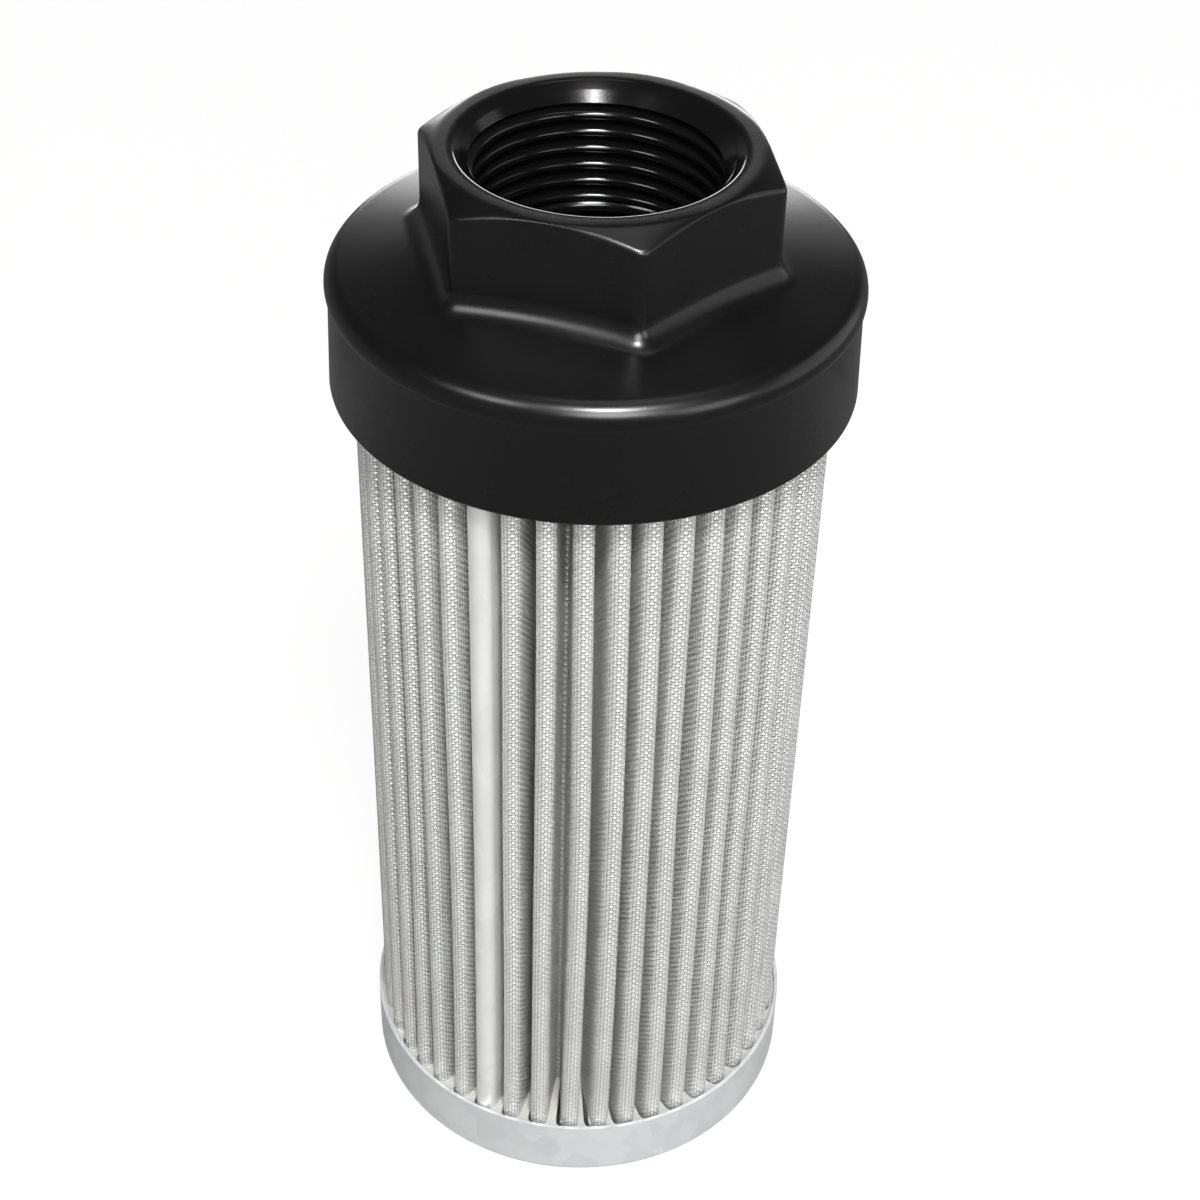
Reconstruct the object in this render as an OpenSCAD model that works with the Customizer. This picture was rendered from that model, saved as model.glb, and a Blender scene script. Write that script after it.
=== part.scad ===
// Hydraulic suction strainer: a moulded head with a hexagon and a female 1 inch pipe thread,
// a pleated wire-mesh sleeve round a perforated core tube, and a drawn steel end cap.
// Millimetres. The origin is the centre of the end cap's underside, and +Z runs up the axis.

/* [Pipe thread] */
// Diameter of the straight bore that carries the thread, measured at the thread's roots
thread_d = 33.3; // [30:0.1:35]
// Width of the lead-in chamfer at the bore's mouth
mouth_chamfer = 1.2; // [0.2:0.1:1.5]

/* [Hexagon] */
// Width of the hexagon across its flats
hex_af = 41; // [38:0.5:48]
// Height of the hexagon's top above the head's shoulder
hex_rise = 15.5; // [9:0.5:20]
// How far the sharp corners of the hexagon are rounded off
hex_corner_cut = 0.3; // [0.2:0.1:1.5]
// How far inside the flats the top chamfer starts
hex_land = 0.3; // [0.1:0.1:1]
// Slope of the top chamfer, in degrees
hex_chamfer_slope = 30; // [15:1:40]
// Radius of the fillet at the hexagon's foot
foot_r = 2.4; // [0.5:0.1:2.5]

/* [Head] */
// Wall of the head's skirt, just under the shoulder
head_wall = 1.6; // [1.2:0.1:3]
// How much the skirt widens down to its lower edge
skirt_flare = 0.4; // [0.1:0.1:1]
// Depth of the skirt below the underside of the head's plate
skirt_depth = 13; // [10:0.5:25]
// Thickness of the head's plate at the shoulder
plate_t = 3.7; // [3:0.1:6]
// Slope of the plate's conical top, in degrees
cone_slope = 12; // [4:1:18]
// Radius of the rounded shoulder
shoulder_r = 2.4; // [1:0.1:3]
// How far the shoulder stands out past the skirt
shoulder_proud = 0.4; // [0.1:0.05:1]
// Rounding of the skirt's lower edge
skirt_edge_r = 0.5; // [0.2:0.1:0.8]
// Length of the spigot that centres the core tube, below the plate
spigot_len = 6.5; // [4:0.5:12]
// Lead-in chamfer on the spigot
spigot_chamfer = 0.6; // [0.2:0.1:1]

/* [Pleated sleeve] */
// Diameter over the tips of the pleats
pleat_d = 62.2; // [57:0.2:80]
// Number of pleats
pleat_count = 44; // [30:1:50]
// Length of the pleated sleeve
sleeve_len = 135; // [80:1:260]
// Outer radius of the fold at a pleat's tip
tip_r = 1.3; // [0.9:0.05:1.4]
// Outer radius of the fold at a pleat's root, towards the core tube
root_r = 1.05; // [0.9:0.05:1.2]
// Thickness of the fine filter mesh
filter_t = 0.25; // [0.1:0.05:0.35]
// Thickness of the coarse support mesh behind it
support_t = 0.45; // [0.2:0.05:0.5]

/* [Seam clip] */
// Number of the pleat whose tip the seam clip covers
seam_pleat = 28; // [0:1:43]
// Thickness of the clip's strip
clip_t = 0.3; // [0.2:0.05:0.4]
// Length of the clip's legs along the flanks of the pleat
clip_leg_len = 3; // [1:0.5:5]

/* [Core tube] */
// Outside diameter of the core tube
core_d = 41; // [38:0.2:44]
// Wall of the core tube
core_t = 0.6; // [0.4:0.1:1.2]
// Diameter of the holes in the core tube
hole_d = 6; // [3:0.5:7]
// Number of holes in each row
holes_around = 14; // [8:1:14]
// Distance between the rows of holes
row_pitch = 8; // [7.5:0.5:16]
// Plain band between the potting and the nearest row of holes
hole_margin = 2; // [1:0.5:8]

/* [End cap] */
// Sheet thickness of the end cap
cap_t = 0.5; // [0.4:0.1:0.8]
// Height of the end cap's rim
cap_rim_h = 10; // [6:0.5:20]
// Outer radius of the bend between the floor and the rim
cap_bend_r = 1.2; // [1:0.1:3]
// Height of the pressed boss that centres the core tube
boss_h = 4; // [2.5:0.5:8]
// Outer radius of the bend at the boss's top
boss_bend_r = 1; // [0.9:0.1:2]

/* [Potting] */
// Depth of the potting in the end cap
pot_bottom_h = 8.5; // [4:0.5:9]
// Depth of the potting in the head
pot_top_h = 7; // [4:0.5:9]
// Potting between each end of the sleeve and the part that it stands in
end_gap = 1; // [0.5:0.1:2]

/* [Fits] */
// Clearance between the core tube and what centres it
core_gap = 0.1; // [0.05:0.05:0.3]
// Gap between the core tube and the roots of the pleats
root_gap = 0.3; // [0.1:0.1:1]
// Clearance between the seam clip and the end cap's rim
cap_gap = 0.15; // [0.05:0.05:0.5]
// Clearance between the seam clip and the head's skirt
skirt_gap = 0.7; // [0.3:0.1:1.5]

/* [Hidden] */
$fn = 96;

nylon_black = [0.10, 0.10, 0.11];
mesh_bright = [0.74, 0.74, 0.72];
mesh_grey = [0.58, 0.58, 0.57];
zinc_grey = [0.78, 0.79, 0.80];
epoxy_grey = [0.70, 0.70, 0.67];

tip_steps = 6;   // straight steps round the fold at a tip
root_steps = 4;  // straight steps round the fold at a root
cut = 1;         // how far a cutting shape runs past what it cuts
foot_sink = 0.1; // how far the fillet at the hexagon's foot runs into the conical top

// heights, from the end cap's floor up
sleeve_z = cap_t + end_gap;
sleeve_top = sleeve_z + sleeve_len;
plate_z = sleeve_top + end_gap;
skirt_z = plate_z - skirt_depth;
shoulder_z = plate_z + plate_t;
top_z = shoulder_z + hex_rise;
spigot_z = plate_z - spigot_len;

// radii, from the sleeve out to the head and in to the bore
pleat_r = pleat_d / 2;
clip_r = pleat_r + clip_t;
cap_in_r = clip_r + cap_gap;
cap_r = cap_in_r + cap_t;
skirt_in_r = clip_r + skirt_gap;
skirt_r = skirt_in_r + head_wall;
lip_r = skirt_r + skirt_flare;
head_r = skirt_r + shoulder_proud;
core_r = core_d / 2;
core_in_r = core_r - core_t;
spigot_r = core_in_r - core_gap;
boss_r = core_in_r - core_gap;
thread_r = thread_d / 2;

// the shoulder's rounding, and the point where the conical top leaves it
shoulder_c = [head_r - shoulder_r, shoulder_z - shoulder_r];
cone_edge = shoulder_c + shoulder_r * [sin(cone_slope), cos(cone_slope)];
function cone_z(r) = cone_edge[1] + (cone_edge[0] - r) * tan(cone_slope);

hex_corner_r = hex_af / sqrt(3) - hex_corner_cut;
foot_z = cone_z(hex_corner_r + foot_r) - foot_sink;

// one pleat: a fold at the tip, a fold at the root, and the straight flank between them
mesh_t = filter_t + support_t;
half_pitch = 180 / pleat_count;
tip_c = [pleat_r - tip_r, 0];
root_c_r = core_r + root_gap + root_r;
valley_r = root_r - mesh_t;
fold_line = root_c_r * [cos(half_pitch), sin(half_pitch)] - tip_c;
flank_turn = atan2(fold_line[1], fold_line[0]) - acos((tip_r + valley_r) / norm(fold_line));

function turn(p, a) = [p[0] * cos(a) - p[1] * sin(a), p[0] * sin(a) + p[1] * cos(a)];
function polar(r, a) = r * [cos(a), sin(a)];
function tip_arc(r) = [for (i = [0:tip_steps])
    tip_c + polar(r, flank_turn * (2 * i / tip_steps - 1))];
function root_arc(r) = [for (i = [0:root_steps])
    [root_c_r, 0] + polar(r, 180 + (flank_turn - half_pitch) * (1 - 2 * i / root_steps))];

// the sleeve's closed outline at a depth below its outer face
function pleat_line(depth) = [for (k = [0:pleat_count - 1]) each concat(
    [for (p = tip_arc(tip_r - depth)) turn(p, 2 * k * half_pitch)],
    [for (p = root_arc(valley_r + depth)) turn(p, (2 * k + 1) * half_pitch)])];

// the tip fold of one pleat with straight legs down both flanks, at a height above the outer face
function clip_line(height) =
    let (arc = tip_arc(tip_r + height), leg = polar(clip_leg_len, flank_turn + 90))
    concat([arc[0] + [leg[0], -leg[1]]], arc, [arc[tip_steps] + leg]);

module block_round_below(w, h, r) {
    square([w - r, h]);
    translate([0, r]) square([w, h - r]);
    translate([w - r, r]) circle(r);
}

module block_round_above(w, h, r) {
    square([w, h - r]);
    square([w - r, h]);
    translate([w - r, h - r]) circle(r);
}

module ring(r_in, r_out, h) {
    difference() {
        cylinder(r = r_out, h = h);
        translate([0, 0, -cut]) cylinder(r = r_in, h = h + 2 * cut);
    }
}

module sleeve_layer(outer_depth, inner_depth) {
    translate([0, 0, sleeve_z]) linear_extrude(sleeve_len) difference() {
        polygon(pleat_line(outer_depth));
        polygon(pleat_line(inner_depth));
    }
}

// the clip, with its inner face a given depth below the sleeve's outer face
module clip_strip(depth) {
    line_out = clip_line(clip_t);
    line_in = clip_line(-depth);
    last = len(line_in) - 1;
    translate([0, 0, sleeve_z]) rotate([0, 0, 2 * seam_pleat * half_pitch]) linear_extrude(sleeve_len)
        polygon(concat(line_out, [for (i = [0:last]) line_in[last - i]]));
}

// what the potting is cast round, with no crack between the clip and the mesh
module sleeve_and_clip() {
    sleeve_layer(0, mesh_t);
    clip_strip(mesh_t / 2);
}

// a bar as wide as the hexagon, with a fillet along both sides of its foot
module hex_slab() {
    reach = hex_af / 2 + foot_r;
    rotate([90, 0, 0]) linear_extrude(2 * hex_af, center = true) difference() {
        translate([-reach, foot_z]) square([2 * reach, top_z - foot_z]);
        for (side = [-1, 1]) translate([side * reach, foot_z + foot_r]) {
            circle(foot_r);
            translate([-foot_r, 0]) square([2 * foot_r, top_z - foot_z]);
        }
    }
}

// the round form that takes off the hexagon's corners and chamfers its top
module hex_turning() {
    reach = hex_corner_r + foot_r;
    land_r = hex_af / 2 - hex_land;
    drop = (reach - land_r) * tan(hex_chamfer_slope);
    rotate_extrude() difference() {
        polygon([[0, foot_z], [reach, foot_z], [reach, top_z - drop], [land_r, top_z], [0, top_z]]);
        translate([reach, foot_z + foot_r]) {
            circle(foot_r);
            translate([-foot_r, 0]) square([2 * foot_r, top_z - foot_z]);
        }
    }
}

module hexagon() {
    intersection() {
        hex_slab();
        rotate([0, 0, 60]) hex_slab();
        rotate([0, 0, 120]) hex_slab();
        hex_turning();
    }
}

module head_form() {
    lip_c = [lip_r - skirt_edge_r, skirt_z + skirt_edge_r];
    rotate_extrude() {
        polygon([[0, skirt_z], [lip_r - skirt_edge_r, skirt_z], lip_c, [lip_r, lip_c[1]],
                 [skirt_r, shoulder_c[1]], shoulder_c, cone_edge, [0, cone_z(0)]]);
        translate(shoulder_c) circle(shoulder_r);
        translate(lip_c) circle(skirt_edge_r);
    }
}

module head_hollow() {
    below = skirt_z - cut;
    rotate_extrude() {
        polygon([[0, below], [thread_r, below], [thread_r, top_z - mouth_chamfer],
                 [thread_r + mouth_chamfer, top_z], [thread_r + mouth_chamfer, top_z + cut], [0, top_z + cut]]);
        polygon([[0, below], [skirt_in_r, below], [skirt_in_r, plate_z], [spigot_r, plate_z],
                 [spigot_r, spigot_z + spigot_chamfer], [spigot_r - spigot_chamfer, spigot_z], [0, spigot_z]]);
    }
}

module threaded_head() {
    color(nylon_black) difference() {
        union() {
            head_form();
            hexagon();
        }
        head_hollow();
    }
}

module filter_mesh() {
    color(mesh_bright) sleeve_layer(0, filter_t);
}

module support_mesh() {
    color(mesh_grey) sleeve_layer(filter_t, mesh_t);
}

module seam_clip() {
    color(zinc_grey) clip_strip(0);
}

module core_tube() {
    low = cap_t + pot_bottom_h + hole_margin + hole_d / 2;
    high = plate_z - pot_top_h - hole_margin - hole_d / 2;
    rows = floor((high - low) / row_pitch);
    first = (low + high - rows * row_pitch) / 2;
    color(zinc_grey) difference() {
        translate([0, 0, cap_t]) ring(core_in_r, core_r, plate_z - cap_t);
        for (row = [0:rows], k = [0:holes_around - 1])
            rotate([0, 0, (k + (row % 2) / 2) * 360 / holes_around])
                translate([core_in_r - cut, 0, first + row * row_pitch])
                    rotate([0, 90, 0]) cylinder(d = hole_d, h = core_t + 2 * cut);
    }
}

module top_potting() {
    color(epoxy_grey) difference() {
        translate([0, 0, plate_z - pot_top_h]) ring(core_r, skirt_in_r, pot_top_h);
        sleeve_and_clip();
    }
}

module bottom_potting() {
    color(epoxy_grey) difference() {
        translate([0, 0, cap_t]) rotate_extrude() difference() {
            block_round_below(cap_in_r, pot_bottom_h, cap_bend_r - cap_t);
            square([core_r, pot_bottom_h]);
        }
        sleeve_and_clip();
    }
}

module end_cap() {
    color(zinc_grey) rotate_extrude() difference() {
        union() {
            difference() {
                block_round_below(cap_r, cap_rim_h, cap_bend_r);
                translate([0, cap_t]) block_round_below(cap_in_r, cap_rim_h, cap_bend_r - cap_t);
            }
            block_round_above(boss_r, boss_h, boss_bend_r);
        }
        block_round_above(boss_r - cap_t, boss_h - cap_t, boss_bend_r - cap_t);
    }
}

threaded_head();
filter_mesh();
support_mesh();
seam_clip();
core_tube();
top_potting();
bottom_potting();
end_cap();
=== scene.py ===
import math
import random

import bmesh
import bpy
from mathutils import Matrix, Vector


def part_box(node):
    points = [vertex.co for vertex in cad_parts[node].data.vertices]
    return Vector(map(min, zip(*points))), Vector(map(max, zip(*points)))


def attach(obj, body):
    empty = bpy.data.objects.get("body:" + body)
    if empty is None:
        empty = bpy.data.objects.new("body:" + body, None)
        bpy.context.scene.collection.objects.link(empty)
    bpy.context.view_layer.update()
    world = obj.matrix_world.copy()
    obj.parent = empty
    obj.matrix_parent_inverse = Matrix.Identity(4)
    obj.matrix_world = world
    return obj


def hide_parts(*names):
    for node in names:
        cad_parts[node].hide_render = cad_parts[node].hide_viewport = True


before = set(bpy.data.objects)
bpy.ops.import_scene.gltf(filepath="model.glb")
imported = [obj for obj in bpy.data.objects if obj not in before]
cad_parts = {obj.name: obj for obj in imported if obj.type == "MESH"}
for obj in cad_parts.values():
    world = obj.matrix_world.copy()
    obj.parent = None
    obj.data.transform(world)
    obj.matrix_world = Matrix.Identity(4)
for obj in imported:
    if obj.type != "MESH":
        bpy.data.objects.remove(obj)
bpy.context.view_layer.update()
mm = 0.001
print("frame loaded with", len(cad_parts), "nodes")


def boxMm(node):  # lowest and highest corner of a CAD node, in millimetres
    low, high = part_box(node)
    return low / mm, high / mm


headLow, headHigh = boxMm("threaded_head")
sleeveLow, sleeveHigh = boxMm("filter_mesh")
coreLow, coreHigh = boxMm("core_tube")


# modelling helpers

def newLoop(name, points):  # a circle primitive whose vertices are put on the given points, in mm
    bpy.ops.object.select_all(action="DESELECT")
    bpy.ops.mesh.primitive_circle_add(vertices=len(points), radius=mm)
    piece = bpy.context.object
    piece.name = piece.data.name = name
    for vertex, point in zip(piece.data.vertices, points):
        vertex.co = [c * mm for c in point]
    return piece


def editAll(piece):
    bpy.ops.object.select_all(action="DESELECT")
    piece.select_set(True)
    bpy.context.view_layer.objects.active = piece
    bpy.ops.object.mode_set(mode="EDIT")
    bpy.ops.mesh.select_mode(type="EDGE")
    bpy.ops.mesh.select_all(action="SELECT")


def leaveEdit():
    bpy.ops.mesh.select_all(action="SELECT")
    bpy.ops.mesh.normals_make_consistent(inside=False)
    bpy.ops.object.mode_set(mode="OBJECT")


def applyModifier(piece, name, kind, settings):
    modifier = piece.modifiers.new(name, kind)
    for key, value in settings.items():
        setattr(modifier, key, value)
    bpy.context.view_layer.objects.active = piece
    bpy.ops.object.modifier_apply(modifier=name)


def smooth(piece, degrees):
    bpy.ops.object.select_all(action="DESELECT")
    piece.select_set(True)
    bpy.context.view_layer.objects.active = piece
    bpy.ops.object.shade_smooth_by_angle(angle=math.radians(degrees))


def ringBody(name, rings, angles):  # closed body swept ring by ring; a ring gives (radius, z) at an angle
    first = rings[0]
    start = [first(a) for a in angles]
    piece = newLoop(name, [(r * math.cos(a), r * math.sin(a), z) for a, (r, z) in zip(angles, start)])
    editAll(piece)
    for ring in rings[1:]:
        bpy.ops.mesh.extrude_region_move()
        mesh = bmesh.from_edit_mesh(piece.data)
        for vertex in mesh.verts:
            if vertex.select:
                angle = math.atan2(vertex.co.y, vertex.co.x)
                r, z = ring(angle)
                vertex.co = (r * mm * math.cos(angle), r * mm * math.sin(angle), z * mm)
        bmesh.update_edit_mesh(piece.data)
    mesh = bmesh.from_edit_mesh(piece.data)
    for edge in mesh.edges:
        edge.select_set(edge.is_boundary)
    bmesh.update_edit_mesh(piece.data)
    bpy.ops.mesh.bridge_edge_loops()
    leaveEdit()
    return piece


def roundRing(r, z):
    return lambda angle: (r, z)


def arcRings(centreR, centreZ, radius, fromDeg, toDeg, steps):
    turns = [math.radians(fromDeg + (toDeg - fromDeg) * i / steps) for i in range(steps + 1)]
    return [roundRing(centreR + radius * math.cos(t), centreZ + radius * math.sin(t)) for t in turns]


def evenAngles(count):
    return [math.tau * i / count for i in range(count)]


def finishPiece(piece, material, slot, *nodes):
    piece.data.materials.clear()
    piece.data.materials.append(material)
    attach(piece, "root")
    if nodes:
        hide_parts(*nodes)


# materials

def linear(hexValue):  # sRGB hex to linear RGBA
    parts = [int(hexValue[i:i + 2], 16) / 255 for i in (1, 3, 5)]
    return [c / 12.92 if c <= 0.04045 else ((c + 0.055) / 1.055) ** 2.4 for c in parts] + [1.0]


def addNode(tree, kind, settings, inputs):
    node = tree.nodes.new(kind)
    for key, value in settings.items():
        setattr(node, key, value)
    for key, value in inputs.items():
        if isinstance(value, bpy.types.NodeSocket):
            tree.links.new(value, node.inputs[key])
        else:
            node.inputs[key].default_value = value
    return node


def newMaterial(name):
    material = bpy.data.materials.new(name)
    material.use_nodes = True
    tree = material.node_tree
    return material, tree, tree.nodes["Principled BSDF"]


def noiseAt(tree, place, sizeMm, detail):  # noise with features of this size
    return addNode(tree, "ShaderNodeTexNoise", {},
                   {"Vector": place, "Scale": 1 / (sizeMm * mm), "Detail": detail}).outputs["Fac"]


def remap(tree, value, fromRange, toRange):
    return addNode(tree, "ShaderNodeMapRange", {},
                   {"Value": value, "From Min": fromRange[0], "From Max": fromRange[1],
                    "To Min": toRange[0], "To Max": toRange[1]}).outputs[0]


def calculate(tree, operation, *values):
    return addNode(tree, "ShaderNodeMath", {"operation": operation}, dict(enumerate(values))).outputs[0]


def mixColours(tree, share, first, second):
    return addNode(tree, "ShaderNodeMix", {"data_type": "RGBA"}, {0: share, 6: first, 7: second}).outputs[2]


def mixValues(tree, share, first, second):
    return addNode(tree, "ShaderNodeMix", {"data_type": "FLOAT"}, {0: share, 2: first, 3: second}).outputs[0]


def bumpFrom(tree, height, strength, depthMm):
    return addNode(tree, "ShaderNodeBump", {},
                   {"Height": height, "Strength": strength, "Distance": depthMm * mm}).outputs[0]


noiseRange = (0.3, 0.7)  # most values of a noise lie between these


# Glass-filled nylon, injection moulded: near-black and semi-matt, with a fine grain from the mould
# and slightly duller patches where the fibres lie near the skin. The bore is drawn glossier than the
# outside, as if moulded round a polished core, to match the narrow glints in the photograph.
nylonLook = {"colour": "#060606", "dull": "#0a0a0a", "patchMm": 14, "grainMm": 0.35, "grainDepthMm": 0.008,
             "bump": 0.5, "rough": (0.25, 0.31), "specular": 0.42,
             "coreRadiusMm": (18.2, 18.7), "corePolish": 0.5}


def makeNylon(look):
    material, tree, shader = newMaterial("glass_filled_nylon")
    place = addNode(tree, "ShaderNodeTexCoord", {}, {}).outputs["Object"]
    grain = noiseAt(tree, place, look["grainMm"], 3.0)
    patch = noiseAt(tree, place, look["patchMm"], 4.0)
    colour = mixColours(tree, patch, linear(look["colour"]), linear(look["dull"]))
    skin = remap(tree, patch, noiseRange, look["rough"])
    flat = addNode(tree, "ShaderNodeVectorMath", {"operation": "MULTIPLY"},
                   {0: place, 1: (1, 1, 0)}).outputs[0]
    radius = addNode(tree, "ShaderNodeVectorMath", {"operation": "LENGTH"}, {0: flat}).outputs["Value"]
    polish = remap(tree, radius, [r * mm for r in look["coreRadiusMm"]], (look["corePolish"], 1.0))
    rough = calculate(tree, "MULTIPLY", skin, polish)
    bump = bumpFrom(tree, grain, look["bump"], look["grainDepthMm"])
    tree.links.new(colour, shader.inputs["Base Color"])
    tree.links.new(rough, shader.inputs["Roughness"])
    tree.links.new(bump, shader.inputs["Normal"])
    shader.inputs["Specular IOR Level"].default_value = look["specular"]
    return material


# Woven stainless wire cloth: bright drawn wires crossing over and under, dark in the openings between
# them. A real weave of about 0.2 mm would be too fine to show, so it is drawn at the pitch given here.
# The folds are drawn darker towards their roots: this is painted shade, standing in for the shade that falls
# deep in the folds.
# the fold colour is painted shade, laid on the cloth towards the roots of the folds
clothLook = {"wire": "#eaeae8", "opening": "#8c8c8a", "fold": "#b8b8b6", "pitchMm": 0.5, "depthMm": 0.12,
             "cloudMm": 7, "bump": 0.9, "rough": (0.34, 0.5), "metal": 0.65, "shadeFadeFrom": 0.5}


def makeCloth(name, look):
    material, tree, shader = newMaterial(name)
    along = addNode(tree, "ShaderNodeAttribute", {"attribute_name": "along"}, {}).outputs["Fac"]
    place = addNode(tree, "ShaderNodeTexCoord", {}, {}).outputs["Object"]
    height = addNode(tree, "ShaderNodeSeparateXYZ", {}, {0: place}).outputs["Z"]
    across = calculate(tree, "DIVIDE", along, look["pitchMm"])
    up = calculate(tree, "DIVIDE", height, look["pitchMm"] * mm)
    crowns, cells = [], []
    for axis in (across, up):
        wave = calculate(tree, "SINE", calculate(tree, "MULTIPLY", axis, math.pi))
        crowns.append(calculate(tree, "ABSOLUTE", wave))
        cells.append(calculate(tree, "FLOOR", axis))
    over = calculate(tree, "PINGPONG", calculate(tree, "ADD", *cells), 1.0)
    weave = mixValues(tree, over, *crowns)
    cloud = noiseAt(tree, place, look["cloudMm"], 3.0)
    bare = mixColours(tree, weave, linear(look["opening"]), linear(look["wire"]))
    # painted shade: the colour goes from the bare weave to a darker grey towards the roots of the folds,
    # where shade falls
    fold = addNode(tree, "ShaderNodeAttribute", {"attribute_name": "fold"}, {}).outputs["Fac"]
    unshadedShare = addNode(tree, "ShaderNodeMapRange", {"interpolation_type": "SMOOTHSTEP"},
                    {"Value": fold, "From Min": look["shadeFadeFrom"], "From Max": 1.0}).outputs[0]
    colour = mixColours(tree, unshadedShare, linear(look["fold"]), bare)
    rough = remap(tree, cloud, noiseRange, look["rough"])
    bump = bumpFrom(tree, weave, look["bump"], look["depthMm"])
    tree.links.new(colour, shader.inputs["Base Color"])
    tree.links.new(rough, shader.inputs["Roughness"])
    tree.links.new(bump, shader.inputs["Normal"])
    shader.inputs["Metallic"].default_value = look["metal"]
    return material


# Galvanised steel sheet: a pale blue-grey metal whose zinc froze in crystals a few millimetres wide,
# each a little brighter or duller than its neighbours.
zincLook = {"bright": "#d2d4d5", "dull": "#c8cacb", "crystalMm": 4, "scuffMm": 0.6, "scuffDepthMm": 0.02,
            "bump": 0.15, "rough": (0.4, 0.5), "roughFrom": (0.3, 1.0), "crystalShare": 0.3, "metal": 0.6}


def makeZinc(name, look):
    material, tree, shader = newMaterial(name)
    place = addNode(tree, "ShaderNodeTexCoord", {}, {}).outputs["Object"]
    crystal = addNode(tree, "ShaderNodeTexVoronoi", {},
                      {"Vector": place, "Scale": 1 / (look["crystalMm"] * mm)}).outputs["Color"]
    shade = addNode(tree, "ShaderNodeSeparateColor", {}, {0: crystal}).outputs[0]
    scuff = noiseAt(tree, place, look["scuffMm"], 5.0)
    colour = mixColours(tree, shade, linear(look["dull"]), linear(look["bright"]))
    mixed = calculate(tree, "MULTIPLY_ADD", shade, look["crystalShare"], scuff)
    rough = remap(tree, mixed, look["roughFrom"], look["rough"])
    bump = bumpFrom(tree, scuff, look["bump"], look["scuffDepthMm"])
    tree.links.new(colour, shader.inputs["Base Color"])
    tree.links.new(rough, shader.inputs["Roughness"])
    tree.links.new(bump, shader.inputs["Normal"])
    shader.inputs["Metallic"].default_value = look["metal"]
    return material


# Cast epoxy resin: grey, smooth where it flowed level, with cloudy filler in it.
epoxyLook = {"light": "#b4b4b0", "dark": "#9c9c98", "cloudMm": 4, "waveMm": 0.1, "bump": 0.2, "rough": 0.4}


def makeEpoxy(look):
    material, tree, shader = newMaterial("cast_epoxy")
    place = addNode(tree, "ShaderNodeTexCoord", {}, {}).outputs["Object"]
    cloud = noiseAt(tree, place, look["cloudMm"], 4.0)
    colour = mixColours(tree, cloud, linear(look["dark"]), linear(look["light"]))
    bump = bumpFrom(tree, cloud, look["bump"], look["waveMm"])
    tree.links.new(colour, shader.inputs["Base Color"])
    tree.links.new(bump, shader.inputs["Normal"])
    shader.inputs["Roughness"].default_value = look["rough"]
    return material


nylon = makeNylon(nylonLook)
filterCloth = makeCloth("stainless_filter_cloth", clothLook)
supportCloth = makeCloth("stainless_support_cloth",
                         dict(clothLook, wire="#b4b4b2", pitchMm=1.0, depthMm=0.15))
zinc = makeZinc("galvanised_sheet", zincLook)
clipSteel = makeZinc("bright_strip_steel", dict(zincLook, bright="#dededc", dull="#d6d6d4"))
epoxy = makeEpoxy(epoxyLook)
print("materials made")


# threaded head: one black moulding
head = {
    "hexAcross": 41, "hexCornerRadius": 1.6, "hexRise": 15.5, "landInset": 0.3, "chamferSlope": 30,
    "edge": 0.6, "footRadius": 2.4, "coneSlope": 12, "shoulderRadius": 2.4, "shoulderProud": 0.4,
    "skirtWall": 1.6, "skirtFlare": 0.4, "skirtEdge": 0.5, "skirtBreak": 0.2, "plate": 3.7,
    "boreRadius": 16.65, "mouthChamfer": 1.2, "mouthEdge": (0.3, 0.2), "threadDepth": 16,
    "spigotRadius": 19.8, "spigotLength": 6.5, "spigotChamfer": 0.6,
}
headTop = headHigh.z
headRadius = headHigh.x
skirtZ = headLow.z
shoulderZ = headTop - head["hexRise"]
plateZ = shoulderZ - head["plate"]
skirtRadius = headRadius - head["shoulderProud"]
threadEnd = headTop - head["threadDepth"]
shoulderCentre = (headRadius - head["shoulderRadius"], shoulderZ - head["shoulderRadius"])
slope = math.radians(head["coneSlope"])
coneEdge = (shoulderCentre[0] + head["shoulderRadius"] * math.sin(slope),
            shoulderCentre[1] + head["shoulderRadius"] * math.cos(slope))


def coneHeight(r):
    return coneEdge[1] + (coneEdge[0] - r) * math.tan(slope)


def hexRadius(angle, offset):  # plan of the hexagon with round corners, set out by an offset
    half, corner = head["hexAcross"] / 2, head["hexCornerRadius"]
    sixth = math.pi / 6
    turn = abs((angle + sixth) % (2 * sixth) - sixth)
    if turn <= math.atan((half - corner) * math.tan(sixth) / (half + offset)):
        return (half + offset) / math.cos(turn)
    centre = (half - corner) / math.cos(sixth)
    side = centre * math.sin(sixth - turn)
    return centre * math.cos(sixth - turn) + math.sqrt((corner + offset) ** 2 - side ** 2)


def coneRing(offset):  # the hexagon's plan, set out by an offset, on the conical top
    def ring(angle):
        r = hexRadius(angle, offset)
        return r, coneHeight(r)
    return ring


def footRing(q):  # fillet between the conical top and the hexagon's wall
    def ring(angle):
        r = hexRadius(angle, head["footRadius"] * (1 - math.sin(q)))
        return r, coneHeight(r) + head["footRadius"] * (1 - math.cos(q))
    return ring


landRadius = head["hexAcross"] / 2 - head["landInset"]
chamfer = math.radians(head["chamferSlope"])


def chamferEdge(r):  # size of the chamfer's round edges, less than half of a narrow chamfer
    return min(head["edge"], 0.45 * (r - landRadius) / math.cos(chamfer))


def roundedEdge(s, before, corner, after):  # point on a round edge from one face to the next
    return tuple((1 - s) ** 2 * b + 2 * s * (1 - s) * c + s * s * a
                 for b, c, a in zip(before, corner, after))


def wallEdgeRing(s):  # round edge between the hexagon's wall and its chamfer
    def ring(angle):
        r = hexRadius(angle, 0)
        z = headTop - (r - landRadius) * math.tan(chamfer)
        edge = chamferEdge(r)
        return roundedEdge(s, (r, z - edge), (r, z),
                           (r - edge * math.cos(chamfer), z + edge * math.sin(chamfer)))
    return ring


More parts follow.
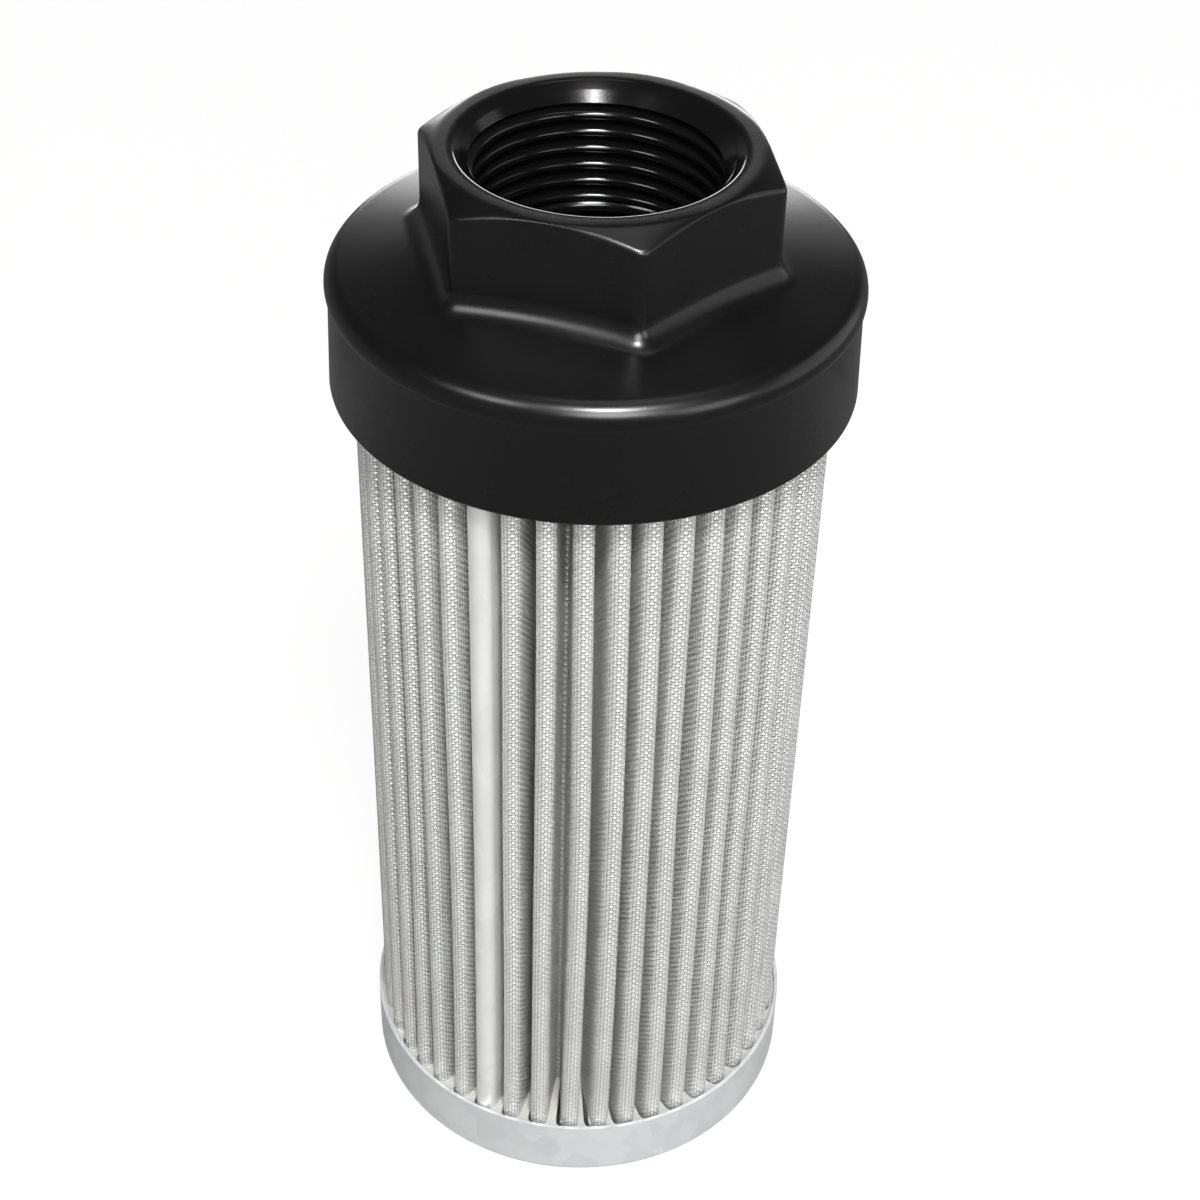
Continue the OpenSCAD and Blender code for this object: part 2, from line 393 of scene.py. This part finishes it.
def landEdgeRing(s):  # round edge between the chamfer and the flat top
    def ring(angle):
        edge = chamferEdge(hexRadius(angle, 0))
        return roundedEdge(s, (landRadius + edge * math.cos(chamfer), headTop - edge * math.sin(chamfer)),
                           (landRadius, headTop), (landRadius - edge, headTop))
    return ring


def cornerAngles(count, crowd):  # angles round the head, closer together at the hexagon's corners
    return [a + crowd * math.sin(6 * a) / 6 for a in evenAngles(count)]


def makeHead():
    edgeSteps = [i / 4 for i in range(5)]
    footSteps = [math.pi / 2 * i / 8 for i in range(9)]
    skirtTurn = -math.degrees(math.acos((skirtRadius - shoulderCentre[0]) / head["shoulderRadius"]))
    skirtInner, skirtBreak = skirtRadius - head["skirtWall"], head["skirtBreak"]
    skirtEdge, bore, mouth = head["skirtEdge"], head["boreRadius"], head["mouthChamfer"]
    landSide, boreSide = head["mouthEdge"]
    spigot, spigotChamfer = head["spigotRadius"], head["spigotChamfer"]
    hold = 0.4  # rings this close to a fillet keep the cone's shading flat
    spigotZ, lip = plateZ - head["spigotLength"], skirtRadius + head["skirtFlare"]
    rings = [roundRing(skirtInner, skirtZ + skirtBreak), roundRing(skirtInner + skirtBreak, skirtZ)]
    rings += arcRings(lip - skirtEdge, skirtZ + skirtEdge, skirtEdge, -90, 0, 4)
    rings += arcRings(*shoulderCentre, head["shoulderRadius"], skirtTurn, 90 - head["coneSlope"], 16)
    rings += [roundRing(coneEdge[0] - hold, coneHeight(coneEdge[0] - hold)),
              coneRing(head["footRadius"] + hold)]
    rings += [footRing(q) for q in footSteps]
    rings += [wallEdgeRing(s) for s in edgeSteps]
    rings += [landEdgeRing(s) for s in edgeSteps]
    rings += [roundRing(*roundedEdge(s, (bore + mouth + landSide, headTop), (bore + mouth, headTop),
                                     (bore + mouth - boreSide, headTop - boreSide))) for s in edgeSteps]
    rings += [roundRing(bore, headTop - mouth), roundRing(bore, spigotZ),
              roundRing(spigot - spigotChamfer, spigotZ), roundRing(spigot, spigotZ + spigotChamfer),
              roundRing(spigot, plateZ), roundRing(skirtInner, plateZ)]
    piece = ringBody("threaded_head_moulding", rings, cornerAngles(480, -0.55))
    smooth(piece, 35)
    return piece


# pipe thread: a right-hand ridge with a round crest on the bore's wall
thread = {"pitch": 2.309, "crestRadius": 15.15, "rootWidth": 2.2, "crestRound": 0.6, "crestTurnDeg": 64,
          "crestSteps": 8, "bury": 0.15, "steps": 120, "lead": 1.1, "leadSlope": 0.8,
          "runout": 1.5, "runoutEdge": 1.4, "runoutLap": 0.1}


def makeThread():
    root, crest = head["boreRadius"], thread["crestRadius"]
    half, crestRound = thread["rootWidth"] / 2, thread["crestRound"]
    turns = math.ceil(head["threadDepth"] / thread["pitch"]) + 2
    start = threadEnd - thread["pitch"]
    crestSteps, crestTurn = thread["crestSteps"], math.radians(thread["crestTurnDeg"])
    crestTurns = [crestTurn * (2 * i / crestSteps - 1) for i in range(crestSteps + 1)]
    outline = [(root + thread["bury"], -half), (root, -half)]
    outline += [(crest + crestRound * (1 - math.cos(t)), crestRound * math.sin(t)) for t in crestTurns]
    outline += [(root, half), (root + thread["bury"], half)]
    piece = newLoop("pipe_thread", [(r, 0, start + z) for r, z in outline])
    applyModifier(piece, "helix", "SCREW", {
        "axis": "Z", "angle": math.tau, "screw_offset": thread["pitch"] * mm, "iterations": turns,
        "steps": thread["steps"], "render_steps": thread["steps"]})
    editAll(piece)
    bpy.ops.mesh.fill_holes(sides=0)
    leaveEdit()
    mouth = root + head["mouthChamfer"]
    leadZ = headTop - thread["lead"]  # where the ridges start at their roots; their crests start lower
    inside, outside = 10, root + 1  # the cutting body reaches past the ridges on both sides
    keep = ringBody("thread_ends", [
        roundRing(inside, threadEnd), roundRing(outside, threadEnd), roundRing(outside, leadZ + 1),
        roundRing(crest - 0.5, leadZ - (mouth - crest) * thread["leadSlope"]), roundRing(inside, leadZ - 3)],
        evenAngles(160))
    applyModifier(piece, "ends", "BOOLEAN", {"object": keep, "operation": "INTERSECT", "solver": "EXACT"})
    bpy.data.objects.remove(keep)
    smooth(piece, 40)
    return piece


def makeRunout():  # the shoulder on which the thread runs out, at the thread's crest radius
    root, crest, edge = head["boreRadius"], thread["crestRadius"], thread["runoutEdge"]
    top = threadEnd + thread["runoutLap"]
    outer, foot = root + thread["bury"], top - thread["runout"]
    rings = [roundRing(outer, foot - (root - crest)), roundRing(outer, top)]
    rings += arcRings(crest + edge, top - edge, edge, 90, 180, 8) + [roundRing(crest, foot)]
    piece = ringBody("thread_runout", rings, evenAngles(160))
    smooth(piece, 40)
    return piece


headPiece = makeHead()
finishPiece(headPiece, nylon, "nylon", "threaded_head")
threadPiece = makeThread()
finishPiece(threadPiece, nylon, "nylon")
runoutPiece = makeRunout()
finishPiece(runoutPiece, nylon, "nylon")
print("head and thread made")


# pleated sleeve: two layers of wire cloth folded together, leaning a little unevenly as pressed pleats do
sleeve = {
    "pleats": 44, "tipRadius": 1.3, "rootRadius": 1.05, "rootGap": 0.3,
    "filterThick": 0.25, "filterSteps": (8, 6, 3), "filterRows": 44,
    "supportThick": 0.45, "supportSteps": (5, 5, 2), "supportRows": 22,
    "seamPleat": 28, "clipThick": 0.3, "clipLeg": 3, "clipGap": 0.01, "clipSteps": 8,
    "leanDeg": 1.1, "unevenDeg": 0.45, "waveDeg": 0.22, "endEase": 0.45, "easePower": 0.6, "dipMm": 0.12,
    "waveCycles": (0.7, 1.6), "blendFrom": 0.32, "blendOver": 0.36, "deepest": 1.05,
    "pushed": {26: -0.8, 27: -0.3, 28: 0.2, 29: 0, 30: 0.4, 31: 1.8, 32: 2.1, 33: 1.3, 34: 0.6, 35: 0.4},
}
pitchAngle = math.tau / sleeve["pleats"]
tipRadius = sleeveHigh.x
meshThick = sleeve["filterThick"] + sleeve["supportThick"]
tipCentre = (tipRadius - sleeve["tipRadius"], 0)
rootCentre = coreHigh.x + sleeve["rootGap"] + sleeve["rootRadius"]
valleyRadius = sleeve["rootRadius"] - meshThick
foldX = rootCentre * math.cos(pitchAngle / 2) - tipCentre[0]
foldY = rootCentre * math.sin(pitchAngle / 2)
foldRadii = sleeve["tipRadius"] + valleyRadius
flankTurn = math.atan2(foldY, foldX) - math.acos(foldRadii / math.hypot(foldX, foldY))

random.seed(11)
unevenness = [(sleeve["pushed"].get(k, random.gauss(0, sleeve["unevenDeg"])),
               random.gauss(0, sleeve["waveDeg"]), random.uniform(*sleeve["waveCycles"]),
               random.uniform(0, math.tau), random.random())
              for k in range(sleeve["pleats"])]


def turned(x, y, angle):
    return x * math.cos(angle) - y * math.sin(angle), x * math.sin(angle) + y * math.cos(angle)


def tipArc(radius, steps):
    turns = [flankTurn * (2 * i / steps - 1) for i in range(steps + 1)]
    return [(tipCentre[0] + radius * math.cos(t), radius * math.sin(t)) for t in turns]


def rootArc(radius, steps):
    reach = flankTurn - pitchAngle / 2
    turns = [math.pi + reach * (1 - 2 * i / steps) for i in range(steps + 1)]
    return [turned(rootCentre + radius * math.cos(t), radius * math.sin(t), pitchAngle / 2) for t in turns]


def between(a, b, steps):
    return [tuple(p + (q - p) * i / steps for p, q in zip(a, b)) for i in range(1, steps)]


def pleatOutline(depth, tipSteps, rootSteps, flankSteps):  # closed outline, starting at the seam pleat
    tip = tipArc(sleeve["tipRadius"] - depth, tipSteps)
    root = rootArc(valleyRadius + depth, rootSteps)
    nextTip = turned(*tip[0], pitchAngle)
    one = tip + between(tip[-1], root[0], flankSteps) + root + between(root[-1], nextTip, flankSteps)
    return [turned(*p, (k + sleeve["seamPleat"]) * pitchAngle) for k in range(sleeve["pleats"]) for p in one]


def pleatLean(k, share):  # lean of one pleat's tip in degrees, at a share of the sleeve's length
    bias, wave, cycles, phase, _ = unevenness[k]
    return bias + wave * math.sin(math.tau * cycles * share + phase)


def leaned(x, y, z):  # where a point of the even sleeve lies on the uneven one
    r, angle = math.hypot(x, y), math.atan2(y, x)
    share = (z - sleeveLow.z) / (sleeveHigh.z - sleeveLow.z)
    place = (angle / pitchAngle) % sleeve["pleats"]
    k = int(place) % sleeve["pleats"]
    blend = min(max((place - int(place) - sleeve["blendFrom"]) / sleeve["blendOver"], 0), 1)
    blend = blend * blend * (3 - 2 * blend)
    after = (k + 1) % sleeve["pleats"]
    lean = sleeve["leanDeg"] + pleatLean(k, share) * (1 - blend) + pleatLean(after, share) * blend
    dip = unevenness[k][4] * (1 - blend) + unevenness[after][4] * blend
    swell = math.sin(math.pi * min(max(share, 0), 1)) ** sleeve["easePower"]
    ease = sleeve["endEase"] + (1 - sleeve["endEase"]) * swell
    depth = min(max((r - rootCentre) / (tipRadius - rootCentre), 0), sleeve["deepest"])
    angle += math.radians(lean) * ease * depth
    r -= sleeve["dipMm"] * dip * ease * depth
    return r * math.cos(angle), r * math.sin(angle), z


def leanPiece(piece):
    for vertex in piece.data.vertices:
        vertex.co = [c * mm for c in leaned(*(vertex.co / mm))]


def extrudeRows(low, high, rows):
    for row in range(rows):
        bpy.ops.mesh.extrude_region_move(TRANSFORM_OT_translate={"value": (0, 0, (high - low) / rows * mm)})


def makeLayer(name, depth, thick, steps, rows):
    outline = pleatOutline(depth, *steps)
    piece = newLoop(name, [(x, y, sleeveLow.z) for x, y in outline])
    lengths = [0.0]
    for a, b in zip(outline, outline[1:]):
        lengths.append(lengths[-1] + math.dist(a, b))
    along = piece.data.attributes.new("along", "FLOAT", "POINT")  # distance round the folds, for the weave
    along.data.foreach_set("value", lengths)
    # this attribute places the painted shade in the folds: 0 at their roots, 1 at their tips
    fold = piece.data.attributes.new("fold", "FLOAT", "POINT")  # 0 at the folds' roots, 1 at their tips
    reach = tipRadius - rootCentre
    fold.data.foreach_set("value", [(math.hypot(x, y) - rootCentre) / reach for x, y in outline])
    editAll(piece)
    extrudeRows(sleeveLow.z, sleeveHigh.z, rows)
    leaveEdit()
    leanPiece(piece)
    applyModifier(piece, "cloth", "SOLIDIFY", {"thickness": thick * mm, "offset": -1})
    smooth(piece, 60)
    return piece


def makeClip():
    leg = sleeve["clipLeg"]
    legX, legY = leg * math.cos(flankTurn + math.pi / 2), leg * math.sin(flankTurn + math.pi / 2)
    sides = []
    for height in (sleeve["clipThick"], sleeve["clipGap"]):
        arc = tipArc(sleeve["tipRadius"] + height, sleeve["clipSteps"])
        sides.append([(arc[0][0] + legX, arc[0][1] - legY), *arc, (arc[-1][0] + legX, arc[-1][1] + legY)])
    outline = [turned(*p, sleeve["seamPleat"] * pitchAngle) for p in sides[0] + sides[1][::-1]]
    piece = newLoop("seam_clip_strip", [(x, y, sleeveLow.z) for x, y in outline])
    editAll(piece)
    bpy.ops.mesh.edge_face_add()
    extrudeRows(sleeveLow.z, sleeveHigh.z, sleeve["filterRows"])
    leaveEdit()
    leanPiece(piece)
    smooth(piece, 50)
    return piece


filterPiece = makeLayer("filter_cloth_pleats", 0, sleeve["filterThick"], sleeve["filterSteps"],
                        sleeve["filterRows"])
finishPiece(filterPiece, filterCloth, "fine_mesh", "filter_mesh")
supportPiece = makeLayer("support_cloth_pleats", sleeve["filterThick"], sleeve["supportThick"],
                         sleeve["supportSteps"], sleeve["supportRows"])
finishPiece(supportPiece, supportCloth, "coarse_mesh", "support_mesh")
clipPiece = makeClip()
finishPiece(clipPiece, clipSteel, "clip_steel", "seam_clip")
print("pleated sleeve and seam clip made")


# CAD nodes that keep their shape
keptNodes = {"core_tube": zinc, "end_cap": zinc, "top_potting": epoxy, "bottom_potting": epoxy}
for node, material in keptNodes.items():
    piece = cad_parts[node]
    piece.data.materials.clear()
    piece.data.materials.append(material)
print("CAD nodes finished")


# floor, light and camera
view = {"azimuthDeg": -13.3, "distanceMm": 245.0, "heightMm": 282.0, "pitchDeg": 38.62, "rollDeg": 1.45,
        "lensMm": 67.07, "sensorMm": 36, "shiftX": 12 / 1200}
stage = {  # levels of light: on dull surfaces, to the camera, and mirrored in the part low down and overhead
    "room": 0.15, "horizon": 0.94, "mirrored": 0.21, "ceiling": 0.06, "fade": (0.05, 0.35),
    "floor": "#d8d8d6", "floorSize": 8, "floorRough": 0.9, "floorSeen": 0.9,
}
lamps = {  # turn from the camera's side and rise in degrees, distance and size in metres, power in watts
    "key": {"turn": 8, "rise": 57, "distance": 1.2, "size": 0.25, "power": 18},
    "left_soft": {"turn": -46, "rise": 45, "distance": 1.2, "size": 0.4, "power": 4},
    "front_fill": {"turn": 8, "rise": 32, "distance": 1.1, "size": 0.5, "power": 9},
    "right_soft": {"turn": 46, "rise": 18, "distance": 1.2, "size": 0.6, "power": 3.5},
    "right_panel": {"turn": 100, "rise": 8, "distance": 1.4, "size": 1.6, "power": 6},
    "top": {"turn": 150, "rise": 80, "distance": 1.2, "size": 0.6, "power": 1},
    "back_fill": {"turn": 180, "rise": 2, "distance": 1.1, "size": 0.7, "power": 7},
}


def makeFloor():
    bpy.ops.object.select_all(action="DESELECT")
    bpy.ops.mesh.primitive_plane_add(size=stage["floorSize"], location=(0, 0, 0))
    floor = bpy.context.object
    floor.name = "floor"
    material, tree, shader = newMaterial("pale_floor")
    shader.inputs["Base Color"].default_value = linear(stage["floor"])
    shader.inputs["Roughness"].default_value = stage["floorRough"]
    shader.inputs["Specular IOR Level"].default_value = 0.0
    seen, mirrored = raysTo(tree)
    level = remap(tree, seen, (0.0, 1.0), (stage["mirrored"], 1.0))
    white = addNode(tree, "ShaderNodeEmission", {}, {"Strength": level}).outputs[0]
    share = calculate(tree, "MULTIPLY_ADD", seen, stage["floorSeen"], mirrored)
    mix = addNode(tree, "ShaderNodeMixShader", {}, {0: share, 1: shader.outputs[0], 2: white}).outputs[0]
    tree.links.new(mix, tree.nodes["Material Output"].inputs["Surface"])
    floor.data.materials.append(material)


def raysTo(tree):  # 1 for rays from the camera, and 1 for rays that metal, gloss and glass send on
    path = addNode(tree, "ShaderNodeLightPath", {}, {}).outputs
    mirrored = calculate(tree, "MAXIMUM", path["Is Glossy Ray"], path["Is Transmission Ray"])
    return path["Is Camera Ray"], mirrored


def makeRoom():  # near white to the camera; mirrored in the part, a grey backdrop under a dim ceiling
    world = bpy.data.worlds.new("studio")
    world.use_nodes = True
    tree = world.node_tree
    seen, mirrored = raysTo(tree)
    direction = addNode(tree, "ShaderNodeTexCoord", {}, {}).outputs["Generated"]
    height = addNode(tree, "ShaderNodeSeparateXYZ", {}, {0: direction}).outputs["Z"]
    backdrop = remap(tree, height, stage["fade"], (stage["mirrored"], stage["ceiling"]))
    light = mixValues(tree, mirrored, stage["room"], backdrop)
    level = mixValues(tree, seen, light, stage["horizon"])
    back = tree.nodes["Background"]
    back.inputs["Color"].default_value = linear("#ffffff")
    tree.links.new(level, back.inputs["Strength"])
    bpy.context.scene.world = world


def polar(azimuthDeg, riseDeg, distance):
    a, e = math.radians(azimuthDeg), math.radians(riseDeg)
    flat = distance * math.cos(e)
    return flat * math.sin(a), -flat * math.cos(a), distance * math.sin(e)


def addLamp(name, spec):
    azimuth = view["azimuthDeg"] + spec["turn"]
    x, y, z = polar(azimuth, spec["rise"], spec["distance"])
    bpy.ops.object.light_add(type="AREA", location=(x, y, z + headTop * mm / 2),
                             rotation=(math.radians(90 - spec["rise"]), 0, math.radians(azimuth)))
    lamp = bpy.context.object
    lamp.name = name
    lamp.data.shape = "DISK"
    lamp.data.size = spec["size"]
    lamp.data.energy = spec["power"]


def makeCamera():
    x, y, z = polar(view["azimuthDeg"], 0, view["distanceMm"] * mm)
    bpy.ops.object.camera_add(location=(x, y, view["heightMm"] * mm),
                              rotation=(math.radians(90 - view["pitchDeg"]), 0,
                                        math.radians(view["azimuthDeg"])))
    camera = bpy.context.object
    camera.rotation_euler.rotate_axis("Z", math.radians(view["rollDeg"]))
    camera.data.sensor_width = view["sensorMm"]
    camera.data.lens = view["lensMm"]
    camera.data.shift_x = view["shiftX"]
    camera.data.clip_start = 0.01
    bpy.context.scene.camera = camera


makeFloor()
for lampName, lampSpec in lamps.items():
    addLamp(lampName, lampSpec)
makeCamera()
makeRoom()
bpy.context.scene.view_settings.view_transform = "Standard"
print("floor, light and camera made")
